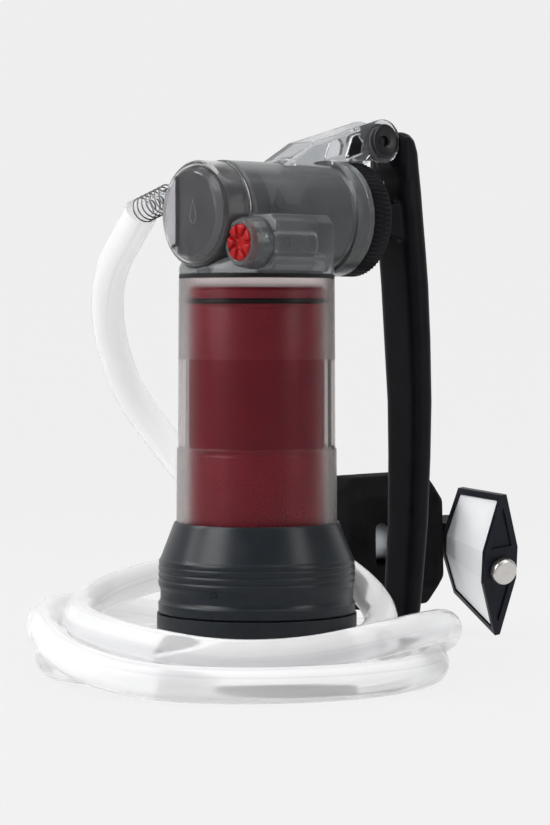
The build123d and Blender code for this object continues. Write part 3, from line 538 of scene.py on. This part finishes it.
# floor that curves up into a wall behind the filter, metres
SWEEP_R = 0.9
SWEEP_START = 1.2           # the floor is level up to here
PAPER_HALF = 3.5            # half of its width
profile = [(-2.5, 0.0)]
for k in range(23):
    turn = radians(90) * k / 22
    profile.append((SWEEP_START + SWEEP_R * sin(turn), SWEEP_R - SWEEP_R * cos(turn)))
profile.append((SWEEP_START + SWEEP_R, SWEEP_R + 1.6))
bm = bmesh.new()
rows = [
    [
        bm.verts.new(VIEW_DIR * far + SIDE_DIR * side + Vector((0, 0, up)))
        for side in (-PAPER_HALF, PAPER_HALF)
    ]
    for far, up in profile
]
for one, two in zip(rows, rows[1:]):
    bm.faces.new((one[0], one[1], two[1], two[0]))
paper = object_from("studio_paper", bm)
paper.data.materials.append(PAPER)


# ---- suction hose --------------------------------------------------------------------
def coil_turn(mid_x, mid_y, reach, start, step, levels, swell):
    out = []
    for count, level in enumerate(levels):
        around = radians(start + count * step)
        far = reach + swell[count]
        out.append((mid_x + far * cos(around), mid_y + far * sin(around), level))
    return out


hose_route = [
    (-39.5, -22.0, 166.0), (-48.2, -20.6, 158.8), (-61.2, -19.2, 148.1), (-75.1, -12.5, 132.3),
    (-81.7, -4.8, 117.2), (-84.4, 4.6, 99.1), (-79.0, 16.5, 81.5), (-67.0, 24.1, 65.0),
]
hose_route += coil_turn(
    -11.9, -9.7, 61.5, 125.5, -28.0,
    (50.0, 36.0, 25.0, 16.5, 12.0, 10.0, 8.5, 7.2, 6.2), (0, 0, 0, 0, 0, -1, -3, -3, -1),
)
hose_route += coil_turn(
    3.8, -9.6, 72.0, 225.5, -24.5, (6.2,) * 12 + (6.8, 12.0, 17.5),
    (-2, 0, 0, 0, -1, -3, -5, -5, -1, 1, 2, 2, 2, 2, -1),
)
hose_route += coil_turn(
    -7.9, 1.4, 76.0, 230.5, -23.0,
    (18.8, 18.9, 16.5, 10.0, 6.2, 6.2, 6.2, 7.4, 17.0), (-3, -1, 0, 0, 0, 0, 0, -1, -3),
)
hose_route += coil_turn(
    -1.9, -2.3, 70.0, 24.5, -24.0, (19.2, 18.0, 14.0, 13.5, 17.5), (-1, 0, 0, 0, 0),
)
hose_route += [
    (-6.4, -69.9, 20.6), (-30.4, -57.3, 22.0), (-49.3, -37.8, 24.8), (-61.1, -11.2, 28.5),
    (-65.0, 18.6, 32.0), (-64.5, 50.6, 35.0), (-61.6, 81.5, 37.8),
]
suction_hose = smooth_line("suction_hose", hose_route, HOSE_R, 7, steps=10)
finish_piece(suction_hose, "filter", "hose_clear", VINYL, "hose")

# ---- filter tube and base ------------------------------------------------------------
tube_wall = turned("tube_wall", [
    (26.5, 19.2), (29.0, 19.2), (28.62, 80.3), (28.2, 81.1), (28.1, 112.3), (27.95, 141.2),
    (25.45, 141.2), (25.7, 80.7),
], 0.35, 192)
finish_piece(tube_wall, "filter", "frosted_clear", FROSTED, "cartridge_housing")

cartridge_sleeve = turned("cartridge_sleeve", [
    (22.8, 34.0), (24.3, 34.0), (24.3, 78.0), (24.1, 78.4), (24.1, 79.4), (24.3, 79.8),
    (24.3, 130.5), (22.8, 130.5),
], 0.3, 160)
finish_piece(cartridge_sleeve, "filter", "crimson_plastic", CRIMSON, "cartridge_shell")

grip_collar = turned("grip_collar", [
    (33.2, 21.95), (34.9, 21.95), (35.3, 22.4), (35.3, 25.6), (34.95, 26.0), (34.55, 27.0),
    (34.5, 29.0), (34.6, 30.4), (35.0, 31.4), (35.25, 32.0), (35.3, 33.6), (34.95, 34.0),
    (34.95, 34.4), (35.28, 34.8), (35.28, 36.1), (34.95, 36.5), (34.95, 36.9), (35.25, 37.3),
    (35.2, 38.7), (34.92, 39.0), (34.92, 39.3), (35.15, 39.6), (35.0, 40.7), (34.4, 41.6),
    (29.95, 53.2), (29.5, 54.2), (29.05, 54.1), (29.2, 52.8), (33.2, 38.0),
], 0.3, 192)
finish_piece(grip_collar, "filter", "grip_plastic", GRIP, "base_grip")

# ---- pump head -----------------------------------------------------------------------
pump_casting = softened("pump_casting", "pump_body", 0.5, 5)
finish_piece(pump_casting, "filter", "smoke_clear", SMOKE, "pump_body")
bracket_casting = softened("bracket_casting", "hinge_bracket", 0.32, 4)
finish_piece(bracket_casting, "filter", "smoke_clear", WEB_SMOKE, "hinge_bracket")
bezel_casting = softened("bezel_casting", "relief_bezel", 0.28, 3)
finish_piece(bezel_casting, "filter", "smoke_clear", SMOKE, "relief_bezel")

cap_window = turned("cap_window", [
    (0.0, -30.75), (14.6, -30.8), (15.3, -30.6), (15.55, -30.3), (17.7, -28.9), (18.5, -28.2),
    (18.75, -27.6), (18.95, -27.2), (18.95, -19.2), (18.6, -19.0), (18.6, -18.7), (18.95, -18.5),
    (18.95, -17.0), (17.05, -17.0), (17.05, -26.9), (16.1, -27.8), (0.0, -27.8),
], 0.25, 160, ALONG_PUMP)
finish_piece(cap_window, "filter", "smoke_clear", CAP_SMOKE, "front_cap")


# plates behind the cap, which split it into an inlet and an outlet chamber: the inlet plate is a
# pale sheet of painted light, the outlet plate and the ring inside the cap's wall are dark sheets
# of painted shade
SPLIT_X = -8.8
SPLIT_TOP = 13.2        # above and below the pump's axis
SPLIT_LOW = -11.1
SEAL_HALF = 0.42
PLATE_R = 15.9
PLATE_FRONT = -27.7
PLATE_BACK = -27.3


def chamber_outline(side):
    # outline of the disc's part on one side of the split: -1 inlet, 1 outlet
    start = asin(sqrt(PLATE_R ** 2 - SPLIT_X ** 2) / PLATE_R)
    first = pi - start
    sweep = 2 * start if side < 0 else 2 * start - 2 * pi
    return [
        (PLATE_R * cos(first + sweep * k / 60), PUMP_Z + PLATE_R * sin(first + sweep * k / 60))
        for k in range(61)
    ]


# painted light: a pale sheet behind the cap on the inlet side
inlet_light_sheet = flat_piece("inlet_light_sheet", chamber_outline(-1), PLATE_FRONT, PLATE_BACK)
finish_piece(inlet_light_sheet, "filter", "inner_plastic", INNER_PAINTED_LIGHT)
# painted shade: a dark sheet behind the cap on the outlet side
outlet_shade_sheet = flat_piece("outlet_shade_sheet", chamber_outline(1), PLATE_FRONT, PLATE_BACK)
finish_piece(outlet_shade_sheet, "filter", "inner_plastic", INNER_PAINTED_SHADE)
# painted shade: a dark ring just inside the cap's wall
chamber_shade_ring = turned("chamber_shade_ring", [
    (16.5, -26.6), (16.9, -26.6), (16.9, -18.2), (16.5, -18.2),
], 0.1, 120, ALONG_PUMP)
finish_piece(chamber_shade_ring, "filter", "inner_plastic", INNER_PAINTED_SHADE)
divider_seal = flat_piece("divider_seal", [
    (SPLIT_X + SEAL_HALF, PUMP_Z + SPLIT_TOP), (SPLIT_X + SEAL_HALF, PUMP_Z + SPLIT_LOW),
    (-12.6, PUMP_Z + SPLIT_LOW - 1.0), (-12.9, PUMP_Z + SPLIT_LOW - 0.2),
    (SPLIT_X - SEAL_HALF, PUMP_Z + SPLIT_LOW + 0.9),
    (SPLIT_X - SEAL_HALF, PUMP_Z + SPLIT_TOP - 0.9),
    (-11.3, PUMP_Z + SPLIT_TOP - 0.5), (-10.9, PUMP_Z + SPLIT_TOP + 0.35),
], -28.9, -28.2)
finish_piece(divider_seal, "filter", "seal_rubber", RUBBER, "inlet_gasket")


# outline of a water drop on the cap's face
DROP_POINTS = 28
drop_line = []
for k in range(DROP_POINTS):
    around = 2 * pi * k / DROP_POINTS
    pinch = sin(around / 2) ** 1.6
    drop_line.append((2.4 + 2.5 * sin(around) * pinch, -30.85, PUMP_Z + 0.6 + 4.0 * cos(around)))
drop_mark = thin_wire("drop_mark", drop_line, 0.22, True)
finish_piece(drop_mark, "filter", "emblem_plastic", WEB_SMOKE)

# retaining ring with its knurls
ring_band = turned("ring_band", [
    (12.5, 36.5), (16.1, 36.5), (16.1, 38.2), (20.3, 38.2), (20.9, 38.9), (20.9, 46.1),
    (20.3, 46.8), (15.2, 46.8), (14.6, 46.2), (12.5, 46.2),
], 0.35, 144, ALONG_PUMP)
knurls = rib_ring("knurls", BLACK, 72, 20.62 * MM, 0.52 * MM, 7.4 * MM,
                  seat((0, 42.5, PUMP_Z), (0, 1, 0), (1, 0, 0)))
knurled_ring = joined("knurled_ring", ring_band, knurls)
finish_piece(knurled_ring, "filter", "black_plastic", BLACK, "retaining_ring")

# relief knob
KNOB_R = 6.6
KNOB_FRONT = -27.35
KNOB_HOLE = 0.25
KNOB_STEPS = 126
PETALS = 7


def knob_height(far, around):
    # how far the petals stand off the knob's face
    off = (around % (2 * pi / PETALS)) - pi / PETALS
    groove = exp(-((pi / PETALS - abs(off)) * far / 0.62) ** 2)
    inner = max(0.0, min(1.0, (far - 2.0) / 0.9))
    outer = max(0.0, (far - KNOB_R + 1.3) / 1.3)
    return -1.7 * (1 - inner) - 1.5 * groove * inner - 0.9 * outer ** 2


bm = bmesh.new()
loops = []
for k in range(KNOB_STEPS):
    around = 2 * pi * k / KNOB_STEPS
    outline = []
    for j in range(19):
        far = KNOB_HOLE + (KNOB_R - KNOB_HOLE) * j / 18
        outline.append((far, knob_height(far, around)))
    outline += [(KNOB_R, -2.0), (KNOB_R - 0.1, -4.0), (KNOB_HOLE, -4.0)]
    loops.append([
        bm.verts.new((far * cos(around) * MM, far * sin(around) * MM, high * MM))
        for far, high in outline
    ])
for k in range(KNOB_STEPS):
    one, two = loops[k], loops[(k + 1) % KNOB_STEPS]
    for j in range(len(one) - 1):
        bm.faces.new((one[j], two[j], two[j + 1], one[j + 1]))
bm.faces.new([line[0] for line in loops])
bm.faces.new([line[-1] for line in loops])
bmesh.ops.transform(
    bm, matrix=seat((RELIEF[0], KNOB_FRONT, RELIEF[1]), (0, -1, 0), (1, 0, 0)), verts=bm.verts
)
petal_knob = object_from("petal_knob", bm)
finish_piece(petal_knob, "relief", "red_plastic", RED, "relief_knob")

# kink spring round the barb, and the clear tail of the hose inside it
SPRING_TURNS = 7
SPRING_R = 4.9
TURN_POINTS = 12
spring_start = Vector((-21.5, -22.0, 171.0))
spring_end = Vector((-39.5, -22.0, 166.3))
spring_dir = (spring_end - spring_start).normalized()
spring_side = Vector((0, 1, 0))
spring_up = spring_dir.cross(spring_side)
coil_points = []
for k in range(SPRING_TURNS * TURN_POINTS + 1):
    around = 2 * pi * k / TURN_POINTS
    spot = spring_start.lerp(spring_end, k / (SPRING_TURNS * TURN_POINTS))
    spot = spot + spring_side * SPRING_R * cos(around) + spring_up * SPRING_R * sin(around)
    coil_points.append(tuple(spot))
kink_coil = thin_wire("kink_coil", coil_points, 0.27)
finish_piece(kink_coil, "filter", "spring_steel", WIRE, "kink_spring")
hose_tail = turned("hose_tail", [
    (2.5, 0.0), (3.0, 0.0), (3.0, 16.5), (3.2, 19.5), (2.7, 19.5),
], 0.15, 64, seat(spring_start, spring_dir, (0, 1, 0)))
finish_piece(hose_tail, "filter", "frosted_clear", BARB, "hose_cuff")

# ---- hinge and lever -----------------------------------------------------------------
pin_ends = []
for side in (-1, 1):
    pin_ends.append(turned("pin_end", [
        (0.0, 6.0), (1.9, 6.0), (2.0, 7.6), (2.9, 8.0), (5.4, 8.35), (6.3, 8.1), (6.4, 7.6),
        (3.0, 7.5), (3.0, 0.0), (0.0, 0.0),
    ], 0.25, 72, seat(PIVOT, (side, 0, 0), (0, 1, 0))))
pivot_pin = joined("pivot_pin", *pin_ends)
finish_piece(pivot_pin, "filter", "pin_black", PIN, "hinge_pin")

# height, middle, width, depth and corner of the grip, from the head down, millimetres
GRIP_SECTIONS = (
    (196.6, 64.6, 12.0, 2.4, 1.0), (195.6, 64.9, 17.0, 5.2, 2.2), (193.4, 65.4, 20.2, 7.6, 3.3),
    (189.0, 66.4, 21.0, 9.0, 4.1), (183.0, 67.0, 21.0, 9.3, 4.2), (174.0, 68.1, 21.0, 9.6, 4.3),
    (165.0, 69.0, 21.0, 9.8, 4.4), (152.0, 70.4, 21.0, 9.95, 4.45), (140.0, 71.6, 21.0, 10.0, 4.5),
    (120.0, 72.9, 20.6, 9.9, 4.4), (96.0, 74.1, 19.6, 9.4, 4.2), (75.0, 74.0, 18.8, 9.0, 4.0),
    (50.0, 73.2, 17.8, 8.6, 3.9), (30.0, 71.4, 17.2, 8.2, 3.8), (17.6, 70.35, 16.4, 7.4, 3.5),
    (14.4, 70.05, 14.4, 5.4, 2.6), (13.1, 69.95, 10.0, 2.4, 1.1),
)


def grip_section(z, y_mid, wide, deep, corner):
    # level outline of the grip with round corners
    ring = []
    for turn, side, face in ((0, 1, 1), (90, -1, 1), (180, -1, -1), (270, 1, -1)):
        for step in range(7):
            around = radians(turn + step * 15)
            ring.append(Vector((
                side * (wide / 2 - corner) + corner * cos(around),
                y_mid + face * (deep / 2 - corner) + corner * sin(around), z,
            )) * MM)
    return ring


bm = bmesh.new()
rings = [[bm.verts.new(p) for p in grip_section(*row)] for row in GRIP_SECTIONS]
for one, two in zip(rings, rings[1:]):
    for k in range(len(one)):
        bm.faces.new((one[k], one[(k + 1) % len(one)], two[(k + 1) % len(one)], two[k]))
bm.faces.new(rings[0])
bm.faces.new(rings[-1])
grip_mesh = bpy.data.meshes.new("lever_grip")
bmesh.ops.recalc_face_normals(bm, faces=bm.faces)
bm.to_mesh(grip_mesh)
bm.free()

# hub and yoke arms are the CAD lever's, cut off inside the grip
HUB_END = 0.0655
hub_mesh = nodes["lever"].data.copy()
hub = bmesh.new()
hub.from_mesh(hub_mesh)
bmesh.ops.remove_doubles(hub, verts=hub.verts, dist=1e-6)
cut = bmesh.ops.bisect_plane(
    hub, geom=hub.verts[:] + hub.edges[:] + hub.faces[:], plane_co=(0, HUB_END, 0),
    plane_no=(0, 1, 0), clear_outer=True,
)
rim = [part for part in cut["geom_cut"] if isinstance(part, bmesh.types.BMEdge)]
bmesh.ops.triangle_fill(hub, edges=rim, use_beauty=True)
hub.from_mesh(grip_mesh)
hub.to_mesh(hub_mesh)
hub.free()
lever_grip = voxel_skin("lever_grip", hub_mesh, 0.55, 8)
finish_piece(lever_grip, "lever", "lever_plastic", LEVER, "lever")

# ---- float and prefilter -------------------------------------------------------------
foam_block = softened("foam_block", "hose_float", 0.8, 9)
finish_piece(foam_block, "filter", "float_foam", FOAM, "hose_float")

SCREEN_BACK = Vector((-48.1, 145.2, 37.2))
SCREEN_FRONT = Vector((-18.5, 140.2, 29.2))
screen_dir = (SCREEN_FRONT - SCREEN_BACK).normalized()
screen_up = Vector((0.240, -0.167, 0.956))
screen_up = (screen_up - screen_dir * screen_up.dot(screen_dir)).normalized()
stud = turned("sinker_stud", [
    (0.0, 0.05), (4.6, 0.05), (5.45, 0.9), (5.45, 3.0), (5.2, 3.9), (4.4, 4.4), (0.0, 4.55),
], 0.5, 96, seat(SCREEN_FRONT - screen_up * 1.6, screen_dir, screen_up))
finish_piece(stud, "filter", "weight_steel", STEEL, "prefilter_weight")

# ---- CAD nodes that keep their shape -------------------------------------------------
kept = {
    "bottle_adapter": SKIRT, "adapter_gasket": RUBBER, "outlet_nipple": BLACK,
    "lower_end_cap": GREY, "lower_oring": RUBBER, "cartridge_base": CRIMSON,
    "cartridge_cap": CRIMSON, "cartridge_oring": RUBBER, "potting_disc": RESIN,
    "fiber_bundle": FIBRE, "head_gasket": RUBBER, "front_cap_oring": RUBBER,
    "valve_plate": GREY, "inlet_valve": SILICONE, "outlet_valve": SILICONE,
    "rod_guide": BLACK, "hinge_washers": GREY, "drive_pin": STEEL, "piston": GREY,
    "piston_seal": RUBBER, "piston_rod": GREY, "relief_poppet": GREY, "relief_seal": RUBBER,
    "relief_spring": WIRE, "inlet_barb": BARB, "prefilter_elbow": BLACK,
    "prefilter_frame": FRAME, "emblem": SMOKE, "prefilter_stem": STEM,
    "prefilter_mesh": SCREEN,
}
for node, mat in kept.items():
    nodes[node].data.materials.clear()
    nodes[node].data.materials.append(mat)
